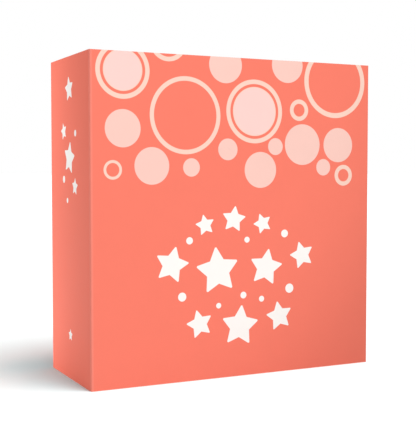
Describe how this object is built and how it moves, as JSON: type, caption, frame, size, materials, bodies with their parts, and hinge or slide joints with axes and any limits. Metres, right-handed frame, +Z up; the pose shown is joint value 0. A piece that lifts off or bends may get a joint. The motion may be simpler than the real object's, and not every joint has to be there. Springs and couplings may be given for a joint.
{
  "type": "baby tooth keepsake box",
  "caption": "Book-shaped wrapped board keepsake box with hinged cover, magnetic closing flap, wooden milk tooth tray and a glass jar.",
  "frame": {"origin": "centre of the closed box's footprint, on the surface it stands on", "axes": "+Z up, -Y out of the front cover, -X out of the spine"},
  "size_m": [0.157, 0.062, 0.16],
  "materials": {
    "grey_board": "raw",
    "printed_paper": "matt laminated print",
    "lining_paper": "uncoated",
    "tray_paper": "uncoated",
    "magnet": "plated",
    "steel": "plain",
    "foam": "closed cell foam",
    "wood": "sanded, unvarnished",
    "pad_cloth": "cotton over foam",
    "glass": "clear",
    "cap_metal": "brushed"
  },
  "bodies": {
    "case": {"spine_board": "grey_board", "spine_wrap": "printed_paper", "spine_lining": "lining_paper", "back_board": "grey_board", "back_wrap": "printed_paper", "back_lining": "lining_paper", "tray_head_wall": "grey_board", "tray_tail_wall": "grey_board", "tray_spine_wall": "grey_board", "tray_fore_edge_wall": "grey_board", "tray_base_board": "grey_board", "tray_wrap": "tray_paper", "tray_lining": "lining_paper", "wall_magnets": "magnet", "foam_bed": "foam", "tooth_tray": "wood", "keepsake_jar": "glass"},
    "front_cover": {"front_board": "grey_board", "front_wrap": "printed_paper", "front_lining": "lining_paper", "lid_pad": "pad_cloth"},
    "closing_flap": {"flap_board": "grey_board", "flap_wrap": "printed_paper", "flap_lining": "lining_paper", "flap_steel_discs": "steel"},
    "cap_seal": {"cap_liner": "foam"},
    "cap": {"jar_cap": "cap_metal"}
  },
  "joints": [
    {"name": "cover_hinge", "type": "hinge", "parent": "case", "child": "front_cover", "pos_m": [-0.0777, -0.031, 0.08], "axis": [0, 0, -1], "range_deg": [0, 180]},
    {"name": "flap_hinge", "type": "hinge", "parent": "front_cover", "child": "closing_flap", "pos_m": [0.0785, -0.0302, 0.08], "axis": [0, 0, -1], "range_deg": [0, 90]},
    {"name": "cap_rise", "type": "slide", "parent": "case", "child": "cap_seal", "axis": [0, -1, 0], "range_m": [0, 0.003]},
    {"name": "cap_turn", "type": "hinge", "parent": "cap_seal", "child": "cap", "pos_m": [-0.00025, -0.0116, 0.048], "axis": [0, -1, 0], "range_deg": [0, 360]}
  ],
  "couplings": [
    {"joint": "cap_rise", "follows": "cap_turn", "m_per_rad": 0.000477}
  ]
}
